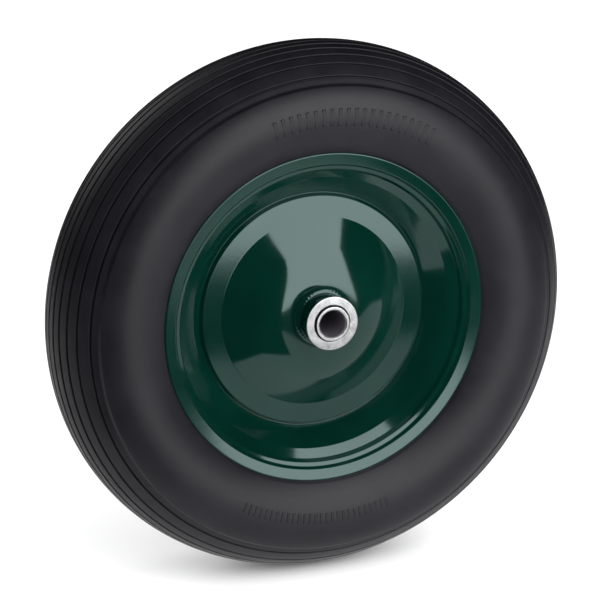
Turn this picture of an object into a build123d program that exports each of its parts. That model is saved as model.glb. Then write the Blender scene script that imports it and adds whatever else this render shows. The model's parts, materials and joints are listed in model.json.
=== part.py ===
from build123d import *

import math
import os

# Barrow wheel: a solid flat-free tyre on two pressed steel discs, a welded hub tube
# and two flanged ball bearings that run on inner races clamped along the axle.
#
# Frame: millimetres, +Z up, the origin at the wheel's centre, the axle along Y and the
# front face towards -Y. Nearly every piece is turned about the axle, so its section is
# drawn as (radius, height), where height is the distance from the wheel's middle plane.

# ---------------------------------------------------------------- driving dimensions
TYRE_RADIUS = 189.2
TYRE_HALF_WIDTH = 48.5
CROWN_ARC_RADIUS = 45.4
SHOULDER_HEIGHT = 38.2
GROOVE_PITCH = 6.7
GROOVES_PER_SIDE = 6
GROOVE_WIDTH = 1.6
GROOVE_DEPTH = 1.6

SHEET = 2.0
LIP_RADIUS = 116.7
LIP_HEIGHT = 36.0
STEP_FOOT_RADIUS = 84.0
STEP_FOOT_HEIGHT = 8.8
RING_OUTER_RADIUS = 81.8
RING_INNER_RADIUS = 68.2
RING_HEIGHT = 11.6
DOME_CORNER_RADIUS = 35.5
DOME_HEIGHT = 28.4
BAND_INNER_RADIUS = 93.5
BAND_HALF_WIDTH = 18.0

HUB_RADIUS = 17.5
HUB_WALL = 1.8
HUB_HALF_LENGTH = 45.1
HUB_CHAMFER = 0.3
WELD_TOE_RADIUS = 22.0
WELD_TOP_HEIGHT = 32.4
WELD_SAGITTA = 0.5

AXLE_BORE_RADIUS = 9.525
BORE_CHAMFER = 0.9
RACE_OUTER_RADIUS = 12.2
RACE_HALF_LENGTH = 48.2
RACE_LENGTH = 12.2
SPACER_RADIUS = 11.5

FLANGE_RADIUS = 19.05
FLANGE_THICKNESS = 1.5
FLANGE_FILLET = 0.5
CUP_LENGTH = 9.1
CUP_MOUTH_RADIUS = 13.2
CUP_INNER_RADIUS = 14.9
CRIMP_RADIUS = 14.2
CRIMP_LENGTH = 0.6

BALL_COUNT = 12
BALL_RADIUS = 2.0
BALL_HEIGHT = 41.4
PITCH_RADIUS = 12.6
RACEWAY_RADIUS = 2.12
RACEWAY_SPLIT = 0.8
POCKET_RADIUS = 2.15
CAGE_INNER_RADIUS = 12.4
CAGE_OUTER_RADIUS = 13.0
CAGE_LENGTH = 6.0
SEAL_INNER_RADIUS = 12.4
SEAL_OUTER_RADIUS = 13.7
SEAL_HEIGHT = 45.0
SEAL_THICKNESS = 0.8

# ---------------------------------------------------------------- sections
# The face of a rim disc that shows, from the hub tube out to the lip: a flat crown round
# the hub, a cone, a flat ring, a small step down, the flared wall and a stepped lip.
RIM_FACE = [
    (HUB_RADIUS, DOME_HEIGHT),
    (DOME_CORNER_RADIUS, DOME_HEIGHT),
    (RING_INNER_RADIUS, RING_HEIGHT),
    (RING_OUTER_RADIUS, RING_HEIGHT),
    (STEP_FOOT_RADIUS, STEP_FOOT_HEIGHT),
    (97.6, 22.8),
    (103.6, 27.6),
    (105.2, 31.0),
    (107.8, 32.2),
    (109.4, 35.0),
    (LIP_RADIUS, LIP_HEIGHT),
]
RIM_FILLETS = [55.0, 1.4, 0.8, 0.4, 1.2, 0.8, 1.4, 0.8, 0.8]

# The tyre's seat runs inside the sheet of the band and the discs, which then trim it.
BEAD_START = (LIP_RADIUS + 0.2, LIP_HEIGHT - 0.9)
SEAT_PATH = [
    (BAND_INNER_RADIUS + SHEET / 2, 0),
    (BAND_INNER_RADIUS + SHEET / 2, 18.2),
    (98.2, 22.1),
    (104.4, 27.0),
    (105.9, 30.2),
    (108.5, 31.4),
    (110.0, 34.1),
    BEAD_START,
]

# The tyre's side, from the lip's edge out over the sidewall to the tread's corner.
BEAD_TUCK = (LIP_RADIUS + 1.6, LIP_HEIGHT + 0.9)
SIDEWALL_BULGE = (147.5, TYRE_HALF_WIDTH)
SIDEWALL_TOP = (165.0, 42.6)
SHOULDER_VALLEY = (166.2, 40.0)

# Heights count forwards on the front plane and backwards on the rear one.
ENDS = {
    "front": Plane(origin=(0, 0, 0), x_dir=(1, 0, 0), z_dir=(0, 0, -1)),
    "rear": Plane.XY,
}

FLANGE_TOP = HUB_HALF_LENGTH + FLANGE_THICKNESS
CUP_FOOT = HUB_HALF_LENGTH - CUP_LENGTH
CUP_OUTER_RADIUS = HUB_RADIUS - HUB_WALL
RACE_FOOT = RACE_HALF_LENGTH - RACE_LENGTH
BACK_RING_TOP = BALL_HEIGHT - RACEWAY_SPLIT


def crown_point(height):
    """Point on the tread's crown arc at a height from the middle plane."""
    across = math.sqrt(CROWN_ARC_RADIUS**2 - height**2)
    return (TYRE_RADIUS - CROWN_ARC_RADIUS + across, height)


def finish(piece, name):
    """Label a finished piece and write it to its own file."""
    piece.part.label = name
    export_step(piece.part, f"parts/{name}.step")


os.makedirs("parts", exist_ok=True)

# ---------------------------------------------------------------- rim discs
rim_discs = []
for end, section_plane in ENDS.items():
    with BuildPart() as rim_disc:
        with BuildSketch(section_plane):
            with BuildLine():
                FilletPolyline(*RIM_FACE, radius=RIM_FILLETS)
                offset(amount=SHEET, side=Side.RIGHT)
            make_face()
        revolve(axis=Axis.Y)
    rim_discs.append(rim_disc.part)
    finish(rim_disc, f"{end}_rim_disc")

# The band that joins the backs of the two discs, under the tyre.
with BuildPart() as rim_band:
    with BuildSketch(Plane.XZ):
        Circle(BAND_INNER_RADIUS + SHEET)
        Circle(BAND_INNER_RADIUS, mode=Mode.SUBTRACT)
    extrude(amount=BAND_HALF_WIDTH, both=True)
    add(rim_discs, mode=Mode.SUBTRACT)
finish(rim_band, "rim_band")

# ---------------------------------------------------------------- tyre
with BuildPart() as tyre:
    with BuildSketch(Plane.XY):
        with BuildLine():
            Polyline(*SEAT_PATH, BEAD_TUCK)
            TangentArc(SIDEWALL_BULGE, BEAD_TUCK, tangent=(-1, 0))
            TangentArc(SIDEWALL_BULGE, SIDEWALL_TOP, tangent=(1, 0))
            ThreePointArc(SIDEWALL_TOP, SHOULDER_VALLEY, crown_point(SHOULDER_HEIGHT))
            ThreePointArc(
                crown_point(SHOULDER_HEIGHT),
                crown_point(SHOULDER_HEIGHT / 2),
                crown_point(0),
            )
            mirror(about=Plane.XZ)
        make_face()
        for step in range(2 * GROOVES_PER_SIDE):
            groove_height = (step - GROOVES_PER_SIDE + 0.5) * GROOVE_PITCH
            lean = math.degrees(math.asin(groove_height / CROWN_ARC_RADIUS))
            with Locations(crown_point(groove_height)):
                Rectangle(2 * GROOVE_DEPTH, GROOVE_WIDTH, rotation=lean, mode=Mode.SUBTRACT)
    revolve(axis=Axis.Y)
    add([*rim_discs, rim_band.part], mode=Mode.SUBTRACT)
finish(tyre, "tyre")

# ---------------------------------------------------------------- hub
with BuildPart() as hub_tube:
    with BuildSketch(Plane.XZ):
        Circle(HUB_RADIUS)
        Circle(CUP_OUTER_RADIUS, mode=Mode.SUBTRACT)
    extrude(amount=HUB_HALF_LENGTH, both=True)
    chamfer(hub_tube.edges().filter_by(GeomType.CIRCLE), length=HUB_CHAMFER)
finish(hub_tube, "hub_tube")

for end, section_plane in ENDS.items():
    with BuildPart() as hub_weld:
        with BuildSketch(section_plane):
            with BuildLine():
                Polyline(
                    (HUB_RADIUS, WELD_TOP_HEIGHT),
                    (HUB_RADIUS, DOME_HEIGHT),
                    (WELD_TOE_RADIUS, DOME_HEIGHT),
                )
                SagittaArc(
                    (WELD_TOE_RADIUS, DOME_HEIGHT),
                    (HUB_RADIUS, WELD_TOP_HEIGHT),
                    WELD_SAGITTA,
                )
            make_face()
        revolve(axis=Axis.Y)
    finish(hub_weld, f"{end}_hub_weld")

# ---------------------------------------------------------------- bearings
for end, section_plane in ENDS.items():
    # The outer ring is a flanged cup, crimped over a ring that closes the raceway.
    with BuildPart() as bearing_cup:
        with BuildSketch(section_plane) as cup_section:
            with BuildLine():
                Polyline(
                    (CUP_MOUTH_RADIUS, BACK_RING_TOP),
                    (CUP_MOUTH_RADIUS, FLANGE_TOP),
                    (FLANGE_RADIUS, FLANGE_TOP),
                    (FLANGE_RADIUS, HUB_HALF_LENGTH),
                    (CUP_OUTER_RADIUS, HUB_HALF_LENGTH),
                    (CUP_OUTER_RADIUS, CUP_FOOT),
                    (CRIMP_RADIUS, CUP_FOOT),
                    (CRIMP_RADIUS, CUP_FOOT + CRIMP_LENGTH),
                    (CUP_INNER_RADIUS, CUP_FOOT + CRIMP_LENGTH),
                    (CUP_INNER_RADIUS, BACK_RING_TOP),
                    close=True,
                )
            make_face()
            with Locations((PITCH_RADIUS, BALL_HEIGHT)):
                Circle(RACEWAY_RADIUS, mode=Mode.SUBTRACT)
            with Locations((SEAL_OUTER_RADIUS, SEAL_HEIGHT)):
                Rectangle(
                    SEAL_OUTER_RADIUS - SEAL_INNER_RADIUS,
                    SEAL_THICKNESS,
                    align=(Align.MAX, Align.MIN),
                    mode=Mode.SUBTRACT,
                )
            fillet(cup_section.vertices().group_by(Axis.X)[-1], radius=FLANGE_FILLET)
        revolve(axis=Axis.Y)
    finish(bearing_cup, f"{end}_bearing_cup")

    with BuildPart() as back_ring:
        with BuildSketch(section_plane):
            with Locations((CUP_INNER_RADIUS, CUP_FOOT + CRIMP_LENGTH)):
                Rectangle(
                    CUP_INNER_RADIUS - CUP_MOUTH_RADIUS,
                    BACK_RING_TOP - CUP_FOOT - CRIMP_LENGTH,
                    align=(Align.MAX, Align.MIN),
                )
            with Locations((PITCH_RADIUS, BALL_HEIGHT)):
                Circle(RACEWAY_RADIUS, mode=Mode.SUBTRACT)
        revolve(axis=Axis.Y)
    finish(back_ring, f"{end}_bearing_back_ring")

    with BuildPart() as dust_seal:
        with BuildSketch(section_plane):
            with Locations((SEAL_OUTER_RADIUS, SEAL_HEIGHT)):
                Rectangle(
                    SEAL_OUTER_RADIUS - SEAL_INNER_RADIUS,
                    SEAL_THICKNESS,
                    align=(Align.MAX, Align.MIN),
                )
        revolve(axis=Axis.Y)
    finish(dust_seal, f"{end}_dust_seal")

    with BuildPart() as inner_race:
        with BuildSketch(section_plane):
            with BuildLine():
                Polyline(
                    (AXLE_BORE_RADIUS, RACE_FOOT),
                    (RACE_OUTER_RADIUS, RACE_FOOT),
                    (RACE_OUTER_RADIUS, RACE_HALF_LENGTH),
                    (AXLE_BORE_RADIUS + BORE_CHAMFER, RACE_HALF_LENGTH),
                    (AXLE_BORE_RADIUS, RACE_HALF_LENGTH - BORE_CHAMFER),
                    close=True,
                )
            make_face()
            with Locations((PITCH_RADIUS, BALL_HEIGHT)):
                Circle(RACEWAY_RADIUS, mode=Mode.SUBTRACT)
        revolve(axis=Axis.Y)
    finish(inner_race, f"{end}_inner_race")

    ball_plane = Plane.XZ.offset(BALL_HEIGHT if end == "front" else -BALL_HEIGHT)
    with BuildPart(ball_plane) as balls:
        with PolarLocations(PITCH_RADIUS, BALL_COUNT):
            Sphere(BALL_RADIUS)
    finish(balls, f"{end}_balls")

    with BuildPart(ball_plane) as ball_cage:
        Cylinder(CAGE_OUTER_RADIUS, CAGE_LENGTH)
        Cylinder(CAGE_INNER_RADIUS, CAGE_LENGTH, mode=Mode.SUBTRACT)
        with PolarLocations(PITCH_RADIUS, BALL_COUNT):
            Cylinder(
                POCKET_RADIUS,
                2 * (CAGE_OUTER_RADIUS - CAGE_INNER_RADIUS),
                rotation=(0, 90, 0),
                mode=Mode.SUBTRACT,
            )
    finish(ball_cage, f"{end}_ball_cage")

# The tube between the inner races, which takes the axle nut's clamping load.
with BuildPart() as spacer_tube:
    with BuildSketch(Plane.XZ):
        Circle(SPACER_RADIUS)
        Circle(AXLE_BORE_RADIUS, mode=Mode.SUBTRACT)
    extrude(amount=RACE_FOOT, both=True)
finish(spacer_tube, "spacer_tube")
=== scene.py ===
"""Barrow wheel: the finished look of each piece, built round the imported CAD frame.

The wheel turns about Y and its front face looks towards -Y. Sections are drawn in
millimetres as (radius, height), where height is the distance from the wheel's middle plane
towards the face being drawn. Meshes are written in metres.
"""

import json
import logging
import math
from dataclasses import dataclass, field
from enum import Enum

import bpy
import numpy as np
from mathutils import Matrix, Vector

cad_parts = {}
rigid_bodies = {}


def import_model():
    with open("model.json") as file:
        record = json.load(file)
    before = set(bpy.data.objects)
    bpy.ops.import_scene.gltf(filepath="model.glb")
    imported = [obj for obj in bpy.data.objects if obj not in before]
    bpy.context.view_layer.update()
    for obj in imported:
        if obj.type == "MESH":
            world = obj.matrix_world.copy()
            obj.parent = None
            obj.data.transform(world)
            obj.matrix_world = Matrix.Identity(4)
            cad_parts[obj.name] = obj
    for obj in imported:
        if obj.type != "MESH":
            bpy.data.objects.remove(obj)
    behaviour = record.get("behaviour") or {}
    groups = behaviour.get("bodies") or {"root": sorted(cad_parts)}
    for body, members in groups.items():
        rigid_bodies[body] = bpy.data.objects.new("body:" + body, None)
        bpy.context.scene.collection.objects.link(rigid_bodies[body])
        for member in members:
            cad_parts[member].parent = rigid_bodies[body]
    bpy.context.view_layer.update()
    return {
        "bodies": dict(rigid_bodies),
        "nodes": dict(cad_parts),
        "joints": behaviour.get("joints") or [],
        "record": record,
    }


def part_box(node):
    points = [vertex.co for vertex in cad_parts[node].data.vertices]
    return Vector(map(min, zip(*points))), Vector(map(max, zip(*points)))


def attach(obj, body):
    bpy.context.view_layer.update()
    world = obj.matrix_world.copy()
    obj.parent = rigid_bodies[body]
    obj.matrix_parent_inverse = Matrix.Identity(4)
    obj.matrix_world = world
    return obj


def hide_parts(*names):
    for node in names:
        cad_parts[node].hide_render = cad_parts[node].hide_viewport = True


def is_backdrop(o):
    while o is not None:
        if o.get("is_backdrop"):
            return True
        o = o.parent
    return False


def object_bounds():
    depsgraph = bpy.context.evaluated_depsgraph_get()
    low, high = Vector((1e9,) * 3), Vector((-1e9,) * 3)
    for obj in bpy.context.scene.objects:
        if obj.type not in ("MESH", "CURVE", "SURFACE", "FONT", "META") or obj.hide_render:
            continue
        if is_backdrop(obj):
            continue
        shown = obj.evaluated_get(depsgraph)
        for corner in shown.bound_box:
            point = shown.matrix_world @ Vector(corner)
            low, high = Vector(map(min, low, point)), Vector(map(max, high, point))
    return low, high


log = logging.getLogger("barrow_wheel")

Colour = tuple[float, float, float]

MM = 0.001
TURN = 2 * math.pi
LEAST_BACK_RADIUS = 0.2  # of a bend on the back of a pressed sheet, in millimetres
GUARD = 0.2  # distance from a corner's arc to the points that keep the flats beside it flat
LEAST_TURN = 1.0  # a corner that turns by fewer degrees than this keeps its point
LEAST_STEPS = 3  # the fewest spans that an arc has


class Face(Enum):
    """The two faces of the wheel, and the way that each looks along Y."""

    FRONT = -1
    REAR = 1

    @property
    def prefix(self) -> str:
        """The word that starts the names of this face's pieces."""
        return self.name.lower()


# ------------------------------------------------------------------ shader maths


class Value:
    """A shader socket that adds Math nodes when it is used in an expression."""

    def __init__(self, tree: "Tree", socket: bpy.types.NodeSocket) -> None:
        """Wraps one output socket of a tree."""
        self.tree = tree
        self.socket = socket

    def _maths(self, operation: str, *operands: "Value | float", clamp: bool = False) -> "Value":
        """Adds one Math node.

        Args:
            operation: the Math node's operation.
            operands: what goes into its sockets, in order.
            clamp: whether the result is held between 0 and 1.

        Returns:
            The node's result.
        """
        settings = {"operation": operation, "use_clamp": clamp}
        return self.tree.node("ShaderNodeMath", settings, dict(enumerate(operands)))

    def __add__(self, other: "Value | float") -> "Value":
        """Sum."""
        return self._maths("ADD", self, other)

    def __radd__(self, other: float) -> "Value":
        """Sum, with the number first."""
        return self._maths("ADD", other, self)

    def __sub__(self, other: "Value | float") -> "Value":
        """Difference."""
        return self._maths("SUBTRACT", self, other)

    def __rsub__(self, other: float) -> "Value":
        """Difference, with the number first."""
        return self._maths("SUBTRACT", other, self)

    def __mul__(self, other: "Value | float") -> "Value":
        """Product."""
        return self._maths("MULTIPLY", self, other)

    def __rmul__(self, other: float) -> "Value":
        """Product, with the number first."""
        return self._maths("MULTIPLY", other, self)

    def root(self) -> "Value":
        """Square root."""
        return self._maths("SQRT", self)

    def above(self, low: float, high: float) -> "Value":
        """Share of the way from low to high, held between 0 and 1."""
        return self._maths("DIVIDE", self - low, high - low, clamp=True)


class Tree:
    """A new material's node tree, with one way to add any node."""

    # The Mix node has one set of sockets for each kind of data, and these are the colour ones.
    COLOUR_A, COLOUR_B, COLOUR_RESULT = 6, 7, 2

    def __init__(self, name: str) -> None:
        """Makes the material and clears its nodes."""
        self.material = bpy.data.materials.new(name)
        self.material.use_nodes = True
        self.nodes = self.material.node_tree.nodes
        self.links = self.material.node_tree.links
        self.nodes.clear()

    def node(
        self,
        kind: str,
        settings: dict[str, object] | None = None,
        inputs: dict[str | int, object] | None = None,
        output: str | int = 0,
    ) -> Value | None:
        """Adds a node.

        Args:
            kind: the node's type.
            settings: its own settings, set before its sockets are filled.
            inputs: socket name or number to a constant or a Value.
            output: the socket that is returned.

        Returns:
            That output socket, or None for a node that has none.
        """
        made = self.nodes.new(kind)
        for key, value in (settings or {}).items():
            setattr(made, key, value)
        for key, value in (inputs or {}).items():
            if isinstance(value, Value):
                self.links.new(value.socket, made.inputs[key])
            else:
                made.inputs[key].default_value = value
        return Value(self, made.outputs[output]) if len(made.outputs) else None

    def place(self) -> Value:
        """The point's own place in the wheel's frame, in metres."""
        return self.node("ShaderNodeTexCoord", output="Object")

    def radius(self) -> Value:
        """Distance from the wheel's axis, in millimetres."""
        x = self.node("ShaderNodeSeparateXYZ", inputs={"Vector": self.place()}, output="X")
        z = Value(self, x.socket.node.outputs["Z"])
        return (x * x + z * z).root() * (1 / MM)

    def noise(self, size_mm: float, detail: float = 2.0, contrast: float = 0.5) -> Value:
        """A cloudy pattern on the surface.

        Args:
            size_mm: how far apart its clouds are.
            detail: how many finer layers it has.
            contrast: how strong each finer layer is.

        Returns:
            Its value, from 0 to 1.
        """
        inputs = {
            "Vector": self.place(),
            "Scale": 1 / (size_mm * MM),
            "Detail": detail,
            "Roughness": contrast,
        }
        return self.node("ShaderNodeTexNoise", {"noise_dimensions": "3D"}, inputs)

    def blend(self, share: Value, first: "Colour | Value", second: "Colour | Value") -> Value:
        """Mixes two colours.

        Args:
            share: 0 for the first colour, 1 for the second.
            first: the first colour, red, green and blue, or a Value.
            second: the second colour.

        Returns:
            The mixed colour.
        """
        pair = [colour if isinstance(colour, Value) else (*colour, 1.0) for colour in (first, second)]
        inputs = {"Factor": share, self.COLOUR_A: pair[0], self.COLOUR_B: pair[1]}
        return self.node("ShaderNodeMix", {"data_type": "RGBA"}, inputs, output=self.COLOUR_RESULT)

    def bump(self, height: Value, depth_mm: float, strength: float = 1.0) -> Value:
        """Turns a height pattern into a normal.

        Args:
            height: the pattern, from 0 to 1.
            depth_mm: how deep it is.
            strength: how much of it shows.

        Returns:
            The bent normal.
        """
        inputs = {"Height": height, "Distance": depth_mm * MM, "Strength": strength}
        return self.node("ShaderNodeBump", inputs=inputs)

    def finish(self, **sockets: object) -> bpy.types.Material:
        """Adds the surface shader.

        Args:
            sockets: the shader's sockets, with underscores for the spaces in their names.

        Returns:
            The finished material.
        """
        inputs = {key.replace("_", " "): value for key, value in sockets.items()}
        shader = self.node("ShaderNodeBsdfPrincipled", inputs=inputs)
        self.node("ShaderNodeOutputMaterial", inputs={"Surface": shader})
        return self.material


# ------------------------------------------------------------------ finishes


@dataclass(frozen=True)
class MouldedRubber:
    """Satin black foam rubber as it comes from the mould."""

    name: str = "moulded_rubber"
    slot: str = "tyre_rubber"
    dark: Colour = (0.0042, 0.0038, 0.006)
    light: Colour = (0.0078, 0.0072, 0.0105)
    roughness: float = 0.43
    mottle_mm: float = 26.0
    mottle_range: tuple[float, float] = (0.32, 0.7)
    mottle_roughness: float = 0.06
    grain_mm: float = 0.55
    pore_mm: float = 2.2
    pore_roughness: float = 0.12
    skin_depth_mm: float = 0.09

    def material(self) -> bpy.types.Material:
        """The rubber: cloudy mould bloom, a fine grain and an uneven sheen.

        Returns:
            The finished material.
        """
        tree = Tree(self.name)
        mottle = tree.noise(self.mottle_mm, detail=4.0, contrast=0.6).above(*self.mottle_range)
        grain = tree.noise(self.grain_mm, detail=2.0)
        pores = tree.noise(self.pore_mm, detail=3.0, contrast=0.65)
        sheen = mottle * self.mottle_roughness + (pores - 0.5) * self.pore_roughness
        return tree.finish(
            Base_Color=tree.blend(mottle * 0.7 + grain * 0.3, self.dark, self.light),
            Roughness=self.roughness + sheen,
            Normal=tree.bump(grain * 0.6 + pores * 0.4, self.skin_depth_mm, strength=0.5),
            IOR=1.4,
            Specular_IOR_Level=0.36,
        )


@dataclass(frozen=True)
class GlossPaint:
    """Deep green gloss coating over pressed steel."""

    name: str = "green_gloss_paint"
    slot: str = "green_paint"
    dark: Colour = (0.0003, 0.0108, 0.0073)
    light: Colour = (0.0005, 0.0142, 0.0099)
    sheen_tint: tuple[float, float, float, float] = (0.78, 1.0, 0.98, 1.0)
    roughness: float = 0.08
    cloud_mm: float = 38.0
    cloud_roughness: float = 0.03
    peel_mm: float = 2.6
    peel_depth_mm: float = 0.005

    def material(self) -> bpy.types.Material:
        """The paint: faint orange peel, and slow changes of depth and gloss.

        Returns:
            The finished material.
        """
        tree = Tree(self.name)
        cloud = tree.noise(self.cloud_mm, detail=3.0).above(0.3, 0.7)
        peel = tree.noise(self.peel_mm, detail=1.0)
        return tree.finish(
            Base_Color=tree.blend(cloud, self.dark, self.light),
            Roughness=self.roughness + cloud * self.cloud_roughness,
            Normal=tree.bump(peel, depth_mm=self.peel_depth_mm),
            IOR=1.5,
            Specular_Tint=self.sheen_tint,
        )


@dataclass(frozen=True)
class ZincPlate:
    """Bright zinc on turned and pressed steel, with fine marks round the axis."""

    name: str = "bright_zinc"
    slot: str = "zinc_plate"
    dark: Colour = (0.36, 0.365, 0.37)
    light: Colour = (0.5, 0.505, 0.51)
    # painted shade: inside bore_radius the plate takes this dark colour and this roughness in place of the
    # shade down the bore
    bore: Colour = (0.075, 0.068, 0.085)
    bore_roughness: float = 0.55
    bore_radius: float = 9.9
    bore_fade: float = 0.15
    roughness: float = 0.24
    bloom_mm: float = 5.0
    bloom_roughness: float = 0.1
    turning_mm: float = 0.35
    turning_depth_mm: float = 0.02

    def material(self) -> bpy.types.Material:
        """The plate: rings from turning, a cloudy bloom, and painted shade in the bore, dark, matt and not
        metallic.

        Returns:
            The finished material.
        """
        tree = Tree(self.name)
        radius = tree.radius()
        ring_place = tree.node("ShaderNodeCombineXYZ", inputs={"X": radius * (1 / self.turning_mm)})
        ring_inputs = {"Vector": ring_place, "Scale": 1.0, "Detail": 2.0}
        rings = tree.node("ShaderNodeTexNoise", {"noise_dimensions": "3D"}, ring_inputs)
        bloom = tree.noise(self.bloom_mm, detail=3.0, contrast=0.6)
        # painted shade mask: 1 where the bright zinc shows, 0 inside the bore, where the plate turns dark,
        # matt and not metallic as painted shade
        plated = radius.above(self.bore_radius - self.bore_fade, self.bore_radius + self.bore_fade)
        colour = tree.blend(bloom.above(0.3, 0.7), self.dark, self.light)
        dulled = plated * (self.bore_roughness - self.roughness)
        return tree.finish(
            Base_Color=tree.blend(plated, self.bore, colour),
            Metallic=plated,
            Roughness=self.bore_roughness - dulled + (bloom - 0.5) * self.bloom_roughness,
            Normal=tree.bump(rings * 0.7 + bloom * 0.3, self.turning_depth_mm, strength=0.6),
        )


@dataclass(frozen=True)
class PolishedSteel:
    """Ground and polished bearing steel."""

    name: str = "polished_steel"
    slot: str = "ball_steel"
    dark: Colour = (0.6, 0.6, 0.62)
    light: Colour = (0.78, 0.78, 0.8)
    roughness: float = 0.1
    film_mm: float = 1.4
    film_roughness: float = 0.14

    def material(self) -> bpy.types.Material:
        """The steel, with a thin film of grease in places.

        Returns:
            The finished material.
        """
        tree = Tree(self.name)
        film = tree.noise(self.film_mm, detail=3.0)
        return tree.finish(
            Base_Color=tree.blend(film, self.dark, self.light),
            Metallic=1.0,
            Roughness=self.roughness + film * self.film_roughness,
        )


@dataclass(frozen=True)
class SealRubber:
    """Matt black rubber of the bearings' dust seals."""

    name: str = "seal_rubber"
    slot: str = "seal_rubber"
    dark: Colour = (0.008, 0.008, 0.009)
    light: Colour = (0.018, 0.018, 0.019)
    roughness: float = 0.6
    grain_mm: float = 0.4
    grain_roughness: float = 0.15
    grain_depth_mm: float = 0.02

    def material(self) -> bpy.types.Material:
        """The rubber, with a fine grain that also varies its colour and sheen.

        Returns:
            The finished material.
        """
        tree = Tree(self.name)
        grain = tree.noise(self.grain_mm, detail=3.0)
        return tree.finish(
            Base_Color=tree.blend(grain, self.dark, self.light),
            Roughness=self.roughness + grain * self.grain_roughness,
            Normal=tree.bump(grain, self.grain_depth_mm),
        )


Finish = MouldedRubber | GlossPaint | ZincPlate | PolishedSteel | SealRubber


# ------------------------------------------------------------------ sections


def arc(centre: tuple[float, float], radius: float, start: float, end: float, steps: int) -> np.ndarray:
    """Points on an arc.

    Args:
        centre: its centre, (radius, height).
        radius: its radius.
        start: angle of its first point, in radians from the radius axis towards height.
        end: angle of its last point.
        steps: how many spans it has.

    Returns:
        An array of steps + 1 points.
    """
    angle = np.linspace(start, end, steps + 1)
    return np.array(centre) + radius * np.stack([np.cos(angle), np.sin(angle)], axis=1)


def rounded(corners: list[tuple[float, float]], radii: list[float], degrees: float = 7.0) -> np.ndarray:
    """A path of straight runs whose inner corners are arcs.

    Each arc touches both of its runs, so it starts radius / tan(half the inner angle) before the
    corner. One more point stands a little way along each run, which keeps flat shading flat.

    Args:
        corners: the corner points, (radius, height).
        radii: one arc radius for each corner but the first and the last; 0 keeps it sharp.
        degrees: how far each span of an arc turns.

    Returns:
        The points of the path, in order.
    """
    points = np.array(corners, dtype=float)
    pieces = [points[:1]]
    for corner, before, after, radius in zip(points[1:-1], points[:-2], points[2:], radii):
        back = (before - corner) / np.linalg.norm(before - corner)
        ahead = (after - corner) / np.linalg.norm(after - corner)
        half = math.acos(float(np.clip(back @ ahead, -1, 1))) / 2
        if radius == 0 or half > (math.pi - math.radians(LEAST_TURN)) / 2:
            pieces.append(corner[None])
            continue
        reach = radius / math.tan(half)
        centre = corner + (back + ahead) / np.linalg.norm(back + ahead) * radius / math.sin(half)
        first, last = corner + back * reach - centre, corner + ahead * reach - centre
        start = math.atan2(first[1], first[0])
        turn = (math.atan2(last[1], last[0]) - start + math.pi) % TURN - math.pi
        steps = max(LEAST_STEPS, math.ceil(abs(math.degrees(turn)) / degrees))
        pieces.append((corner + back * (reach + GUARD))[None])
        pieces.append(arc(tuple(centre), radius, start, start + turn, steps))
        pieces.append((corner + ahead * (reach + GUARD))[None])
    pieces.append(points[-1:])
    return np.concatenate(pieces)


def rounded_ring(corners: list[tuple[float, float]], radii: list[float], degrees: float = 15.0) -> np.ndarray:
    """A closed outline of straight runs with an arc at every corner.

    Args:
        corners: the corner points in order, the last one joined to the first.
        radii: one arc radius for each corner.
        degrees: how far each span of an arc turns.

    Returns:
        The outline's points, without the first one repeated.
    """
    middle = tuple((np.array(corners[-1]) + np.array(corners[0])) / 2)
    return rounded([middle, *corners, middle], radii, degrees)[:-1]


def behind(corners: list[tuple[float, float]], radii: list[float], sheet: float) -> np.ndarray:
    """The back of a bent sheet, whose front is a path of straight runs and arcs.

    Each corner moves to where the lines behind its two runs meet, and its arc keeps its centre:
    its radius grows by the sheet's thickness where the path turns away from the back, and
    shrinks by it, down to a small least radius, where the path turns towards the back.

    Args:
        corners: the front's corner points, (radius, height).
        radii: the front's arc radii, one for each corner but the first and the last.
        sheet: the sheet's thickness, to the right of the way that the front runs.

    Returns:
        The back's points, in the front's order.
    """
    points = np.array(corners, dtype=float)
    span = np.diff(points, axis=0)
    span /= np.linalg.norm(span, axis=1, keepdims=True)
    normal = np.stack([span[:, 1], -span[:, 0]], axis=1)
    mean = normal[:-1] + normal[1:]
    mean /= np.linalg.norm(mean, axis=1, keepdims=True)
    mitre = sheet / np.einsum("ij,ij->i", mean, normal[1:])
    inner = points[1:-1] + mean * mitre[:, None]
    moved = np.concatenate([points[:1] + sheet * normal[:1], inner, points[-1:] + sheet * normal[-1:]])
    away = span[:-1, 0] * span[1:, 1] - span[:-1, 1] * span[1:, 0] > 0
    front = np.array(radii)
    back = np.where(away, front + sheet, np.maximum(front - sheet, LEAST_BACK_RADIUS))
    return rounded([tuple(point) for point in moved], list(back), degrees=7.0)


# ------------------------------------------------------------------ meshes


def mesh_object(name: str, points: np.ndarray, quads: np.ndarray) -> bpy.types.Object:
    """Writes a smooth mesh of quads, facing outwards.

    The sum over the faces of a corner's place times the cross product of its two edges has the
    sign of the closed mesh's volume, so all the faces are turned round when it is negative.

    Args:
        name: the piece's name.
        points: its vertices in millimetres, one row each.
        quads: four vertex numbers for each face.

    Returns:
        The new object, at the origin.
    """
    corner = points[quads]
    facing = np.cross(corner[:, 1] - corner[:, 0], corner[:, 3] - corner[:, 0])
    if np.einsum("ij,ij->", corner[:, 0], facing) < 0:
        quads = quads[:, ::-1]
    mesh = bpy.data.meshes.new(name)
    mesh.vertices.add(len(points))
    mesh.vertices.foreach_set("co", (points * MM).astype(np.float32).ravel())
    mesh.loops.add(quads.size)
    mesh.loops.foreach_set("vertex_index", quads.astype(np.int32).ravel())
    mesh.polygons.add(len(quads))
    mesh.polygons.foreach_set("loop_start", np.arange(0, quads.size, 4, dtype=np.int32))
    mesh.polygons.foreach_set("use_smooth", np.ones(len(quads), dtype=bool))
    mesh.update(calc_edges=True)
    mesh.validate()
    piece = bpy.data.objects.new(name, mesh)
    bpy.context.scene.collection.objects.link(piece)
    return piece


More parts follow.
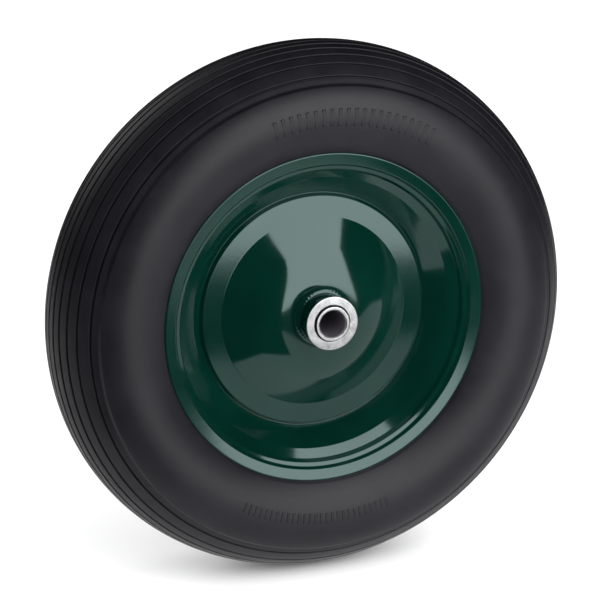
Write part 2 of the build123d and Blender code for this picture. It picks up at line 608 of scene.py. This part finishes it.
def turned(
    name: str, outline: np.ndarray, face: Face, segments: int, relief: np.ndarray | None = None
) -> bpy.types.Object:
    """Turns a closed outline about the wheel's axis.

    A point at (radius, height) goes to (radius cos a, height towards the face, radius sin a) for
    each angle a, and each span of the outline makes a ring of quads.

    Args:
        name: the piece's name.
        outline: the closed section, (radius, height), without its first point repeated.
        face: the face that heights count towards.
        segments: how many spans go round the axis.
        relief: what is added to each point at each angle, as (segments, points, 1), or None.

    Returns:
        The new object.
    """
    count = len(outline)
    angle = np.linspace(0, TURN, segments, endpoint=False)[:, None]
    section = outline[None] + (np.zeros((segments, 1, 1)) if relief is None else relief)
    radius, height = section[..., 0], section[..., 1]
    points = np.stack([radius * np.cos(angle), face.value * height, radius * np.sin(angle)], axis=-1)
    number = np.arange(segments * count).reshape(segments, count)
    ahead, beyond = np.roll(number, -1, axis=1), np.roll(number, -1, axis=0)
    across = np.roll(beyond, -1, axis=1)
    quads = np.stack([number, ahead, across, beyond], axis=-1).reshape(-1, 4)
    return mesh_object(name, points.reshape(-1, 3), quads)


@dataclass
class Assembly:
    """What the sub-assemblies share: the body that they ride on, and how a piece is dressed."""

    body: str = "wheel"

    def dress(
        self, piece: bpy.types.Object, finish: Finish, node: str | None, body: str | None = None
    ) -> None:
        """Gives a new piece its finish and its body, and hides the CAD node that it stands for.

        Args:
            piece: the new piece.
            finish: one of the finishes.
            node: the CAD node that it replaces, or None.
            body: the body it rides on, when it isn't the assembly's own.
        """
        piece.data.materials.append(material_of(finish))
        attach(piece, body or self.body)
        if node:
            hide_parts(node)
        log.info("%s: %d faces", piece.name, len(piece.data.polygons))


MADE: dict[str, bpy.types.Material] = {}


def material_of(finish: Finish) -> bpy.types.Material:
    """The finish's material, made the first time it is asked for."""
    if finish.name not in MADE:
        MADE[finish.name] = finish.material()
    return MADE[finish.name]


def box_mm(node: str) -> tuple[float, float]:
    """Measures a CAD node's box.

    Args:
        node: the node's name.

    Returns:
        Its outer radius and its farthest height from the middle plane, in millimetres.
    """
    low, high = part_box(node)
    return high.x / MM, max(abs(low.y), abs(high.y)) / MM


# ------------------------------------------------------------------ rim


@dataclass
class Rim(Assembly):
    """Two pressed discs with a crown, a cone, a flat ring, a channel, a bead seat and a lip."""

    finish: GlossPaint = field(default_factory=GlossPaint)
    sheet: float = 2.0
    hub_radius: float = 17.5
    crown_radius: float = 35.5
    crown_height: float = 28.4
    ring_radii: tuple[float, float] = (68.2, 81.8)
    ring_height: float = 11.6
    seat: tuple[tuple[float, float], ...] = (
        (84.0, 8.8),
        (97.6, 22.8),
        (103.6, 27.6),
        (105.2, 31.0),
        (107.8, 32.2),
        (109.4, 34.8),
    )
    fillets: tuple[float, ...] = (55.0, 1.4, 0.8, 0.4, 1.2, 0.8, 1.4, 0.8, 0.8)
    lip_reach: float = 0.58
    lip_steps: int = 10
    segments: int = 400

    def corners(self) -> list[tuple[float, float]]:
        """The corners of the side of the sheet that shows.

        Returns:
            The corners, (radius, height), from the hub out to just before the lip's edge.
        """
        lip_radius, lip_height = box_mm("front_rim_disc")
        return [
            (self.hub_radius, self.crown_height),
            (self.crown_radius, self.crown_height),
            (self.ring_radii[0], self.ring_height),
            (self.ring_radii[1], self.ring_height),
            *self.seat,
            (lip_radius - self.lip_reach, lip_height),
        ]

    def back(self, distance: float) -> np.ndarray:
        """A path behind the side that shows.

        Args:
            distance: how far behind it is.

        Returns:
            Its points, from the hub outwards.
        """
        return behind(self.corners(), list(self.fillets), distance)

    def outline(self) -> np.ndarray:
        """The disc's closed section.

        Returns:
            The points of its face, of half a circle round the lip's edge, and of its back.
        """
        face = rounded(self.corners(), list(self.fillets), degrees=5.0)
        back = self.back(self.sheet)
        edge = (face[-1] + back[-1]) / 2
        way = (face[-1] - face[-2]) / np.linalg.norm(face[-1] - face[-2])
        start = math.atan2(way[1], way[0]) + math.pi / 2
        lip = arc(tuple(edge), self.sheet / 2, start, start - math.pi, self.lip_steps)[1:-1]
        guard = (face[-1] - way * GUARD)[None]
        return np.concatenate([face[:-1], guard, face[-1:], lip, back[::-1]])

    def build(self) -> None:
        """Makes both discs."""
        for face in Face:
            name = f"{face.prefix}_rim_disc"
            disc = turned(f"{name}_pressing", self.outline(), face, self.segments)
            self.dress(disc, self.finish, name)


# ------------------------------------------------------------------ tyre


@dataclass
class Tyre(Assembly):
    """A solid tyre: a ribbed round tread, shoulder valleys, full sidewalls and a seat on the rim."""

    finish: MouldedRubber = field(default_factory=MouldedRubber)
    crown_arc: float = 45.4
    crown_reach: float = 38.2
    groove_pitch: float = 6.7
    grooves: int = 12
    groove_depth: float = 1.7
    groove_half_width: tuple[float, float] = (0.35, 1.0)
    groove_points: tuple[float, ...] = (0.15, 0.35, 0.48, 0.62, 0.76, 0.88, 1.0, 1.25)
    shoulder_margin: float = 0.1
    shoulder_fillets: tuple[float, ...] = (0.7, 2.2, 1.6)
    bulge_radius: float = 147.5
    bulge_steps: int = 22
    fillet_span: int = 2  # how many of those steps the sidewall's top fillet takes up
    mark_room: float = 0.4
    sidewall_top: tuple[float, float] = (165.0, 42.6)
    valley_corner: tuple[float, float] = (165.6, 39.9)
    bead: tuple[float, float] = (118.3, 36.9)
    bore_radius: float = 95.7
    bore_edge: float = 0.6
    seat_start: float = 0.3
    seat_gap: float = 0.05
    segments: int = 224

    def crown(self) -> np.ndarray:
        """The tread's arc from the middle plane to the shoulder, with its grooves.

        A point at angle a on the arc stands at the arc's radius less the groove's depth there,
        which eases from full depth at the groove's floor to nothing at its edges.

        Returns:
            The points of one half of the tread, (radius, height), from the middle plane.
        """
        outer, _ = box_mm("tyre")
        half = self.grooves // 2
        angle = np.arcsin((np.arange(half) + 0.5) * self.groove_pitch / self.crown_arc)
        inner, edge = self.groove_half_width
        aside = np.array(self.groove_points) * edge
        across = np.concatenate([-aside[::-1], [0.0], aside])
        near = (angle[:, None] + across[None] / self.crown_arc).ravel()
        middles = np.concatenate([[0.0], (angle[:-1] + angle[1:]) / 2])
        end = math.asin(self.crown_reach / self.crown_arc)
        points = np.sort(np.concatenate([near, middles]))
        points = points[points < end - self.shoulder_margin / self.crown_arc]
        away = np.abs(points[:, None] - angle[None]).min(axis=1) * self.crown_arc
        share = np.clip((edge - away) / (edge - inner), 0, 1)
        radius = self.crown_arc - self.groove_depth * share * share * (3 - 2 * share)
        return np.stack(
            [outer - self.crown_arc + radius * np.cos(points), radius * np.sin(points)], axis=1
        )

    def crest(self) -> float:
        """Height of the sidewall's top, which leaves room in the CAD box for the marks."""
        return box_mm("tyre")[1] - self.mark_room

    def bulge(self, end: tuple[float, float]) -> float:
        """Radius of the arc that is level at the crest and runs down to an end point."""
        across, drop = end[0] - self.bulge_radius, self.crest() - end[1]
        return (across**2 + drop**2) / (2 * drop)

    def side(self) -> np.ndarray:
        """The side, whose sidewall is two arcs that meet level at its crest.

        Returns:
            The points from the shoulder's edge over the valley and the sidewall to the lip.
        """
        outer, _ = box_mm("tyre")
        rise = math.sqrt(self.crown_arc**2 - self.crown_reach**2)
        shoulder = (outer - self.crown_arc + rise, self.crown_reach)
        slopes = []
        for end in (self.sidewall_top, self.bead):
            radius = self.bulge(end)
            start = math.pi / 2 - math.asin((end[0] - self.bulge_radius) / radius)
            centre = (self.bulge_radius, self.crest() - radius)
            slopes.append(arc(centre, radius, start, math.pi / 2, self.bulge_steps))
        top, bottom = slopes[0][self.fillet_span :], slopes[1][::-1]
        ends = [tuple(slopes[0][0]), tuple(top[0])]
        corners = [tuple(self.crown()[-1]), shoulder, self.valley_corner, *ends]
        valley = rounded(corners, list(self.shoulder_fillets), degrees=12.0)[1:-1]
        return np.concatenate([valley, top, bottom[1:]])

    def outline(self, rim: Rim) -> np.ndarray:
        """The whole closed section, with the seat lying against the backs of the discs.

        Args:
            rim: the rim that the tyre sits on.

        Returns:
            The section, from the middle of the tread over one side, the seat and the other side.
        """
        back = rim.back(rim.sheet + self.seat_gap)
        seat = back[back[:, 0] > self.bore_radius + self.seat_start][::-1]
        half = np.concatenate([self.crown()[1:], self.side(), seat, [(self.bore_radius, self.bore_edge)]])
        mirrored = half[::-1] * (1, -1)
        return np.concatenate([self.crown()[:1], half, mirrored])

    def surface_height(self, radius: np.ndarray) -> np.ndarray:
        """Height of the sidewall, from the two arcs that meet level at its crest.

        Args:
            radius: the distances from the axis.

        Returns:
            The height at each of them.
        """
        below = radius < self.bulge_radius
        bend = np.where(below, self.bulge(self.bead), self.bulge(self.sidewall_top))
        return self.crest() - bend + np.sqrt(bend**2 - (radius - self.bulge_radius) ** 2)

    def build(self, rim: Rim) -> None:
        """Makes the tyre.

        Args:
            rim: the rim that the tyre sits on.
        """
        tyre = turned("ribbed_tyre", self.outline(rim), Face.FRONT, self.segments)
        self.dress(tyre, self.finish, "tyre")


@dataclass(frozen=True)
class MarkRow:
    """One row of bars: its middle and step in degrees, its count, its radii and a bar's width."""

    word: str
    middle: float
    step: float
    count: int
    radii: tuple[float, float]
    width: float


@dataclass
class SidewallMarks(Assembly):
    """Rows of plain raised bars on the sidewalls, where a maker would mould its lettering."""

    finish: MouldedRubber = field(default_factory=MouldedRubber)
    relief: float = 0.42
    edge_sunk: float = 0.02
    foot_sunk: float = 0.5
    ease_width: float = 0.65
    edge_points: tuple[float, ...] = (0.0, 0.1, 0.25, 0.45, 0.65, 0.95)
    rows: tuple[MarkRow, ...] = (
        MarkRow("upper", 83.5, 2.3, 21, (138.5, 151.0), 2.8),
        MarkRow("lower", -95.0, 1.7, 27, (137.5, 145.0), 2.4),
    )

    def spread(self, extent: float) -> tuple[np.ndarray, np.ndarray]:
        """Places across a bar, close together near its two edges.

        Args:
            extent: how wide or long the bar is.

        Returns:
            The places, counted from the bar's middle, and how far the top has risen at each,
            from 0 at an edge to 1.
        """
        near = np.array(self.edge_points)
        places = np.concatenate([near, extent - near[::-1]]) - extent / 2
        return places, np.clip((extent / 2 - np.abs(places)) / self.ease_width, 0, 1)

    def bars(self, tyre: Tyre, row: MarkRow) -> np.ndarray:
        """The closed skins of one row of bars.

        Each bar is a ring of points carried along its length: over its top and back along its
        underside. The top's height over the sidewall eases from nothing at its edge to the full
        relief a little way in, and the underside lies in the rubber.

        Args:
            tyre: the tyre whose sidewall the bars lie on.
            row: the row of bars.

        Returns:
            The vertices, as (bars, rings along a bar, points round a ring, 3).
        """
        across, rise_across = self.spread(row.width)
        along, rise_along = self.spread(row.radii[1] - row.radii[0])
        share = np.minimum(rise_along[:, None], rise_across[None])
        lift = self.relief * share * share * (3 - 2 * share) - self.edge_sunk
        middle_radius = sum(row.radii) / 2
        base = tyre.surface_height(middle_radius + along)[:, None]
        under = np.repeat(base - self.foot_sunk, len(across), axis=1)
        height = np.concatenate([base + lift, under], axis=1)
        middles = np.radians(row.middle + (np.arange(row.count) - (row.count - 1) / 2) * row.step)
        around = np.concatenate([across, across[::-1]]) / middle_radius
        angle = middles[:, None, None] + around[None, None]
        radius, height, angle = np.broadcast_arrays((middle_radius + along)[:, None], height, angle)
        return np.stack([radius * np.cos(angle), height, radius * np.sin(angle)], axis=-1)

    def skin(self, bars: int, stations: int, around: int) -> np.ndarray:
        """The quads that join the rings of each bar, and those that close its two ends.

        Args:
            bars: how many bars there are.
            stations: how many rings each has.
            around: how many points a ring has, half on the top and half on the underside.

        Returns:
            Four vertex numbers for each face.
        """
        number = np.arange(bars * stations * around).reshape(bars, stations, around)
        ahead = np.roll(number, -1, axis=2)
        side = np.stack([number[:, :-1], ahead[:, :-1], ahead[:, 1:], number[:, 1:]], axis=-1)
        top, under = number[:, :, : around // 2], number[:, :, : around // 2 - 1 : -1]
        ends = np.stack([top[..., :-1], under[..., :-1], under[..., 1:], top[..., 1:]], axis=-1)
        parts = (side, ends[:, 0], ends[:, -1, :, ::-1])
        return np.concatenate([part.reshape(-1, 4) for part in parts])

    def build(self, tyre: Tyre) -> None:
        """Makes the rows on both sidewalls.

        Args:
            tyre: the tyre whose sidewalls the rows lie on.
        """
        for face in Face:
            for row in self.rows:
                rings = self.bars(tyre, row) * (1, face.value, 1)
                quads = self.skin(*rings.shape[:3])
                name = f"{face.prefix}_{row.word}_sidewall_marks"
                self.dress(mesh_object(name, rings.reshape(-1, 3), quads), self.finish, None)


# ------------------------------------------------------------------ hub


@dataclass
class Hub(Assembly):
    """The tube through both discs, and the weld bead round it on each face."""

    finish: GlossPaint = field(default_factory=GlossPaint)
    wall: float = 1.8
    tube_edge: float = 0.25
    weld_toe: float = 22.0
    weld_foot: float = 28.4
    weld_top: float = 32.4
    weld_root: float = 0.5
    weld_sunk: float = 0.6
    weld_lap: float = 0.3
    weld_toe_inset: float = 0.4
    weld_steps: int = 16
    ripple: float = 0.12
    ripples: int = 46
    segments: int = 240

    def tube(self) -> None:
        """Makes the tube, with small round edges at its ends."""
        outer, half = box_mm("hub_tube")
        inner = outer - self.wall
        corners = [(outer, -half), (outer, half), (inner, half), (inner, -half)]
        outline = rounded_ring(corners, [self.tube_edge] * len(corners))
        self.dress(turned("painted_hub_tube", outline, Face.FRONT, self.segments), self.finish, "hub_tube")

    def weld(self, face: Face) -> None:
        """Makes one bead: a quarter ellipse from the tube out to the disc, with faint ripples.

        Args:
            face: the face that the bead is on.
        """
        outer, _ = box_mm("hub_tube")
        reach, rise = self.weld_toe - outer, self.weld_top - self.weld_foot
        turn = np.linspace(math.pi / 2, 0, self.weld_steps + 1)
        bead = np.stack([outer + reach * np.cos(turn), self.weld_foot + rise * np.sin(turn)], axis=1)
        inside = outer - self.weld_root
        root = [
            (self.weld_toe - self.weld_toe_inset, self.weld_foot - self.weld_sunk),
            (inside, self.weld_foot - self.weld_sunk),
            (inside, self.weld_top - self.weld_lap),
        ]
        angle = np.linspace(0, TURN, self.segments, endpoint=False)
        wave = self.ripple * (np.abs(np.sin(self.ripples * angle / 2)) - 1)
        weight = np.concatenate([np.sin(2 * turn), np.zeros(len(root))])
        relief = (wave[:, None] * weight[None])[..., None]
        name = f"{face.prefix}_hub_weld"
        piece = turned(f"{name}_bead", np.concatenate([bead, root]), face, self.segments, relief)
        self.dress(piece, self.finish, name)

    def build(self) -> None:
        """Makes the tube and both beads."""
        self.tube()
        for face in Face:
            self.weld(face)


# ------------------------------------------------------------------ bearings


@dataclass
class Bearing(Assembly):
    """The parts of the flanged ball bearings that show: cups, seals and inner races."""

    plate: ZincPlate = field(default_factory=ZincPlate)
    seal: SealRubber = field(default_factory=SealRubber)
    flange_thickness: float = 1.5
    tube_inner: float = 15.7
    mouth: float = 13.2
    cup_inner: float = 14.9
    cup_foot: float = 36.0
    crimp: tuple[float, float] = (14.2, 0.6)
    cup_fillets: tuple[float, ...] = (0.0, 0.0, 0.0, 0.2, 0.5, 0.5, 0.2, 0.4, 0.2, 0.0, 0.0)
    pitch_radius: float = 12.6
    ball_height: float = 41.4
    raceway: float = 2.12
    back_ring_top: float = 40.6
    bore: float = 9.525
    bore_chamfer: float = 0.9
    race_radius: float = 12.2
    race_foot: float = 36.0
    race_fillets: tuple[float, ...] = (0.2, 0.1, 0.25, 0.2, 0.35)
    seal_seat: float = 13.7
    seal_thickness: float = 0.8
    seal_inner: float = 12.4
    seal_lip: tuple[float, float] = (0.35, 0.25)
    seal_fillets: tuple[float, ...] = (0.1, 0.12, 0.12, 0.1, 0.1)
    fillet_degrees: float = 12.0
    segments: int = 180

    def raceway_arc(self, start: float, end: float, steps: int) -> np.ndarray:
        """Part of the circle that the balls' groove follows.

        Args:
            start: angle of its first point about a ball's centre, in radians.
            end: angle of its last point.
            steps: how many spans it has.

        Returns:
            Its points.
        """
        return arc((self.pitch_radius, self.ball_height), self.raceway, start, end, steps)

    def cup(self, face: Face) -> None:
        """Makes the flanged cup.

        Args:
            face: the face that it is on.
        """
        flange, top = box_mm("front_bearing_cup")
        under = top - self.flange_thickness
        seal_top = box_mm("front_dust_seal")[1]
        seal_low = seal_top - self.seal_thickness
        crimp_radius, crimp_top = self.crimp[0], self.cup_foot + self.crimp[1]
        groove = self.raceway_arc(
            -math.asin((self.ball_height - self.back_ring_top) / self.raceway),
            math.acos((self.mouth - self.pitch_radius) / self.raceway),
            steps=14,
        )
        corners = [
            (self.mouth, seal_low),
            (self.seal_seat, seal_low),
            (self.seal_seat, seal_top),
            (self.mouth, seal_top),
            (self.mouth, top),
            (flange, top),
            (flange, under),
            (self.tube_inner, under),
            (self.tube_inner, self.cup_foot),
            (crimp_radius, self.cup_foot),
            (crimp_radius, crimp_top),
            (self.cup_inner, crimp_top),
            (self.cup_inner, self.back_ring_top),
        ]
        wall = rounded(corners, list(self.cup_fillets), self.fillet_degrees)
        name = f"{face.prefix}_bearing_cup"
        piece = turned(f"{name}_plated", np.concatenate([groove, wall]), face, self.segments)
        self.dress(piece, self.plate, name)

    def race(self, face: Face) -> None:
        """Makes the inner race, whose end stands proud of the flange.

        Args:
            face: the face that it is on.
        """
        end = box_mm("front_inner_race")[1]
        start = math.acos((self.race_radius - self.pitch_radius) / self.raceway)
        groove = self.raceway_arc(start, TURN - start, steps=12)
        corners = [
            tuple(groove[-1]),
            (self.race_radius, self.race_foot),
            (self.bore, self.race_foot),
            (self.bore, end - self.bore_chamfer),
            (self.bore + self.bore_chamfer, end),
            (self.race_radius, end),
            tuple(groove[0]),
        ]
        wall = rounded(corners, list(self.race_fillets), self.fillet_degrees)[1:-1]
        name = f"{face.prefix}_inner_race"
        piece = turned(f"{name}_plated", np.concatenate([groove, wall]), face, self.segments)
        self.dress(piece, self.plate, name, body="axle_sleeve")

    def dust_seal(self, face: Face) -> None:
        """Makes the seal, a ring with a raised lip beside the race.

        Args:
            face: the face that it is on.
        """
        outer, top = box_mm("front_dust_seal")
        low = top - self.seal_thickness
        lip_width, lip_rise = self.seal_lip
        corners = [
            (self.seal_inner, low),
            (self.seal_inner, top),
            (self.seal_inner + lip_width, top),
            (outer, top - lip_rise),
            (outer, low),
        ]
        name = f"{face.prefix}_dust_seal"
        outline = rounded_ring(corners, list(self.seal_fillets))
        self.dress(turned(f"{name}_ring", outline, face, self.segments), self.seal, name)

    def build(self) -> None:
        """Makes what shows of both bearings."""
        for face in Face:
            self.cup(face)
            self.race(face)
            self.dust_seal(face)


@dataclass
class InnerPieces:
    """The CAD nodes that stay as they are, and the finish that each takes."""

    nodes: dict[str, Finish] = field(
        default_factory=lambda: {
            "balls": PolishedSteel(),
            "ball_cage": ZincPlate(),
            "bearing_back_ring": ZincPlate(),
        }
    )
    all_bore: float = 99.0  # wider than the spacer tube, so that the bore's painted shade darkens it all

    def build(self, frame: dict[str, dict]) -> None:
        """Assigns the finishes.

        Args:
            frame: the loaded frame.
        """
        wanted = {f"{face.prefix}_{word}": finish for face in Face for word, finish in self.nodes.items()}
        # painted shade: the spacer tube inside the hub is dark, matt and not metallic all over
        wanted["spacer_tube"] = ZincPlate(name="shade_painted_steel", bore_radius=self.all_bore)
        wanted["rim_band"] = GlossPaint()
        for name, finish in wanted.items():
            piece = frame["nodes"][name]
            piece.data.materials.clear()
            piece.data.materials.append(material_of(finish))
            log.info("%s keeps its CAD shape", name)


# ------------------------------------------------------------------ studio


@dataclass
class Softbox:
    """A rectangular light that faces the wheel and leans over it.

    Its lower and upper edges are level, and their middles are given in metres as (distance from
    the wheel's centre, height) in the upright plane of its azimuth. An azimuth is in degrees
    from the front face's way of looking towards +X.
    """

    name: str
    azimuth: float
    width: float
    lower: tuple[float, float]
    upper: tuple[float, float]
    radiance: float

    def build(self) -> None:
        """Makes the light, with its bright side towards the wheel."""
        turn = math.radians(self.azimuth)
        outwards = Vector((math.sin(turn), -math.cos(turn), 0))
        right = Vector((math.cos(turn), math.sin(turn), 0))
        lower, upper = (outwards * far + Vector((0, 0, high)) for far, high in (self.lower, self.upper))
        rise = (upper - lower).normalized()
        data = bpy.data.lights.new(self.name, "AREA")
        data.shape = "RECTANGLE"
        data.size, data.size_y = self.width, (upper - lower).length
        data.energy = self.radiance * math.pi * data.size * data.size_y
        light = bpy.data.objects.new(self.name, data)
        turned_to = Matrix((right, rise, right.cross(rise))).transposed()
        light.matrix_world = Matrix.Translation((lower + upper) / 2) @ turned_to.to_4x4()
        light.visible_camera = False
        bpy.context.scene.collection.objects.link(light)


@dataclass
class Studio:
    """A pale floor, a pale table top that only shows in the gloss, softboxes and the camera.

    Lengths are in metres, but for the camera's lens and sensor, which are in millimetres.
    """

    floor_half: float = 9.0
    floor_colour: tuple[float, float, float, float] = (0.95, 0.95, 0.95, 1.0)
    ambient: float = 1.2
    table_gap: float = 0.001
    table: tuple[tuple[float, float], ...] = (
        (0.0, -0.5),
        (0.75, -0.5),
        (1.2, 0.0),
        (1.2, 1.5),
        (-1.2, 1.5),
        (-1.2, 0.0),
        (-0.25, -0.1),
        (0.0, -0.25),
    )
    softboxes: tuple[Softbox, ...] = (
        Softbox("key_softbox", 17.0, 0.44, (0.82, -0.185), (0.36, 0.385), 5.2),
        Softbox("rear_softbox", -150.0, 1.0, (1.6, 0.4), (1.1, 1.3), 1.4),
    )
    camera_azimuth: float = -21.25
    camera_elevation: float = 16.3
    camera_distance: float = 1.945
    camera_lens: float = 166.5
    camera_sensor: float = 36.0
    camera_aside: tuple[float, float] = (-0.00526, 0.004)

    def plane(self, name: str, outline: list[tuple[float, float]], height: float) -> bpy.types.Object:
        """A flat piece of floor.

        Args:
            name: its name.
            outline: its corners, seen from above.
            height: how high it lies.

        Returns:
            The new object, marked as stage.
        """
        mesh = bpy.data.meshes.new(name)
        mesh.from_pydata([(x, y, height) for x, y in outline], [], [range(len(outline))])
        plane = bpy.data.objects.new(name, mesh)
        bpy.context.scene.collection.objects.link(plane)
        matt = Tree(name).finish(Base_Color=self.floor_colour, Roughness=1.0, Specular_IOR_Level=0.0)
        plane.data.materials.append(matt)
        plane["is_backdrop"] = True
        return plane

    def build(self) -> None:
        """Makes the floor, the lights, the world and the camera."""
        scene = bpy.context.scene
        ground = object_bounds()[0].z
        half = self.floor_half
        floor = self.plane("floor", [(-half, -half), (half, -half), (half, half), (-half, half)], ground)
        floor.visible_glossy = False
        table = self.plane("table_top", list(self.table), ground - self.table_gap)
        table.visible_camera = table.visible_diffuse = table.visible_shadow = False
        for softbox in self.softboxes:
            softbox.build()
        world = bpy.data.worlds.new("studio")
        world.use_nodes = True
        background = world.node_tree.nodes["Background"]
        background.inputs["Color"].default_value = (1.0, 1.0, 1.0, 1.0)
        background.inputs["Strength"].default_value = self.ambient
        world.cycles_visibility.glossy = False
        scene.world = world
        scene.view_settings.view_transform = "Standard"
        self.camera()

    def camera(self) -> None:
        """Makes the camera, which looks past the wheel's centre from its azimuth and elevation."""
        turn, rise = math.radians(self.camera_azimuth), math.radians(self.camera_elevation)
        back = Vector((math.sin(turn) * math.cos(rise), -math.cos(turn) * math.cos(rise), math.sin(rise)))
        right = Vector((math.cos(turn), math.sin(turn), 0.0))
        up = back.cross(right)
        data = bpy.data.cameras.new("camera")
        data.lens = self.camera_lens
        data.sensor_width = self.camera_sensor
        camera = bpy.data.objects.new("camera", data)
        aside, lift = self.camera_aside
        place = back * self.camera_distance + right * aside + up * lift
        camera.matrix_world = Matrix.Translation(place) @ Matrix((right, up, back)).transposed().to_4x4()
        bpy.context.scene.collection.objects.link(camera)
        bpy.context.scene.camera = camera


def main() -> None:
    """Builds the wheel and the studio round the frame."""
    logging.basicConfig(level=logging.INFO, format="%(name)s: %(message)s")
    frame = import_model()
    rim, tyre = Rim(), Tyre()
    rim.build()
    tyre.build(rim)
    SidewallMarks().build(tyre)
    Hub().build()
    Bearing().build()
    InnerPieces().build(frame)
    Studio().build()


if __name__ == "__main__":
    main()
